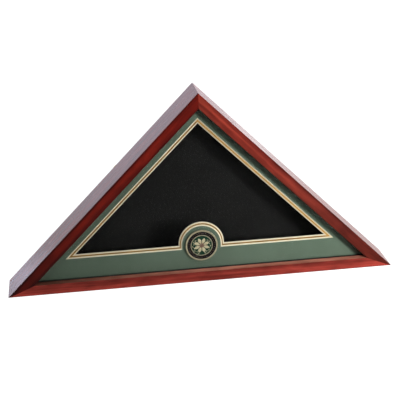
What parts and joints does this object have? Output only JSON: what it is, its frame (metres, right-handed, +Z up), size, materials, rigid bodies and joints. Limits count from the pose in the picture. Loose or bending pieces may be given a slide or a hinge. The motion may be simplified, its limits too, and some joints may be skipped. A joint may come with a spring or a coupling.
{
  "type": "folded flag display case",
  "caption": "Triangular wooden shadow box that stands on its long side, with a glazed, matted front, a medallion and a lift-out back, for showing a folded flag.",
  "frame": {"origin": "centre of the base that the case stands on, at mid depth of the rails", "axes": "+X along the base to the viewer's right, +Y from the glass to the removable back, +Z up"},
  "size_m": [0.66, 0.0797, 0.33],
  "materials": {
    "stained_cherry": "satin lacquer over red-brown stain",
    "clear_glass": "clear, low reflection",
    "black_spacer": "matte",
    "green_mat_board": "matte mat board with a cream core",
    "gold_mat_board": "antique gold mat board with a cream core",
    "die_struck_brass": "die struck, polished high spots",
    "black_enamel": "soft enamel",
    "green_enamel": "soft enamel",
    "foam_tape": "foam",
    "black_felt_board": "fibreboard wrapped in black felt",
    "hardboard": "smooth hardboard",
    "black_velvet": "short black velvet pile",
    "brass_plated_steel": "bright brass plating",
    "v_nail_steel": "plain steel"
  },
  "bodies": {
    "case": {"left_rail": "stained_cherry", "right_rail": "stained_cherry", "bottom_rail": "stained_cherry", "corner_v_nails": "v_nail_steel", "glass_pane": "clear_glass", "left_glass_spacer": "black_spacer", "right_glass_spacer": "black_spacer", "bottom_glass_spacer": "black_spacer", "top_mat": "green_mat_board", "inner_mat": "gold_mat_board", "medallion_body": "die_struck_brass", "medallion_enamel_ring": "black_enamel", "medallion_enamel_field": "green_enamel", "medallion_pad": "foam_tape", "left_liner": "black_felt_board", "right_liner": "black_felt_board", "bottom_liner": "black_felt_board", "turn_button_screws": "brass_plated_steel", "left_hanger_strap": "brass_plated_steel", "right_hanger_strap": "brass_plated_steel", "hanger_screws": "brass_plated_steel"},
    "back": {"back_panel": "hardboard", "velvet_backing": "black_velvet"},
    "turn_button_upper_left": {"turn_button_upper_left": "brass_plated_steel"},
    "turn_button_lower_left": {"turn_button_lower_left": "brass_plated_steel"},
    "turn_button_bottom_left": {"turn_button_bottom_left": "brass_plated_steel"},
    "turn_button_bottom_right": {"turn_button_bottom_right": "brass_plated_steel"},
    "turn_button_lower_right": {"turn_button_lower_right": "brass_plated_steel"},
    "turn_button_upper_right": {"turn_button_upper_right": "brass_plated_steel"},
    "left_hanger_ring": {"left_hanger_ring": "brass_plated_steel"},
    "right_hanger_ring": {"right_hanger_ring": "brass_plated_steel"}
  },
  "joints": [
    {"name": "back_lift_out", "type": "slide", "parent": "case", "child": "back", "axis": [0, 1, 0], "range_m": [0, 0.12]},
    {"name": "turn_upper_left_button", "type": "hinge", "parent": "case", "child": "turn_button_upper_left", "pos_m": [-0.06329, 0.038, 0.25894], "axis": [0, -1, 0], "continuous": true},
    {"name": "turn_lower_left_button", "type": "hinge", "parent": "case", "child": "turn_button_lower_left", "pos_m": [-0.24126, 0.038, 0.08096], "axis": [0, -1, 0], "continuous": true},
    {"name": "turn_bottom_left_button", "type": "hinge", "parent": "case", "child": "turn_button_bottom_left", "pos_m": [-0.15, 0.038, 0.0055], "axis": [0, -1, 0], "continuous": true},
    {"name": "turn_bottom_right_button", "type": "hinge", "parent": "case", "child": "turn_button_bottom_right", "pos_m": [0.15, 0.038, 0.0055], "axis": [0, 1, 0], "continuous": true},
    {"name": "turn_lower_right_button", "type": "hinge", "parent": "case", "child": "turn_button_lower_right", "pos_m": [0.24126, 0.038, 0.08096], "axis": [0, 1, 0], "continuous": true},
    {"name": "turn_upper_right_button", "type": "hinge", "parent": "case", "child": "turn_button_upper_right", "pos_m": [0.06329, 0.038, 0.25894], "axis": [0, 1, 0], "continuous": true},
    {"name": "left_ring_swing", "type": "hinge", "parent": "case", "child": "left_hanger_ring", "pos_m": [-0.13046, 0.03968, 0.19176], "axis": [0.7071, 0, -0.7071], "range_deg": [0, 180]},
    {"name": "right_ring_swing", "type": "hinge", "parent": "case", "child": "right_hanger_ring", "pos_m": [0.13046, 0.03968, 0.19176], "axis": [0.7071, 0, 0.7071], "range_deg": [0, 180]}
  ]
}
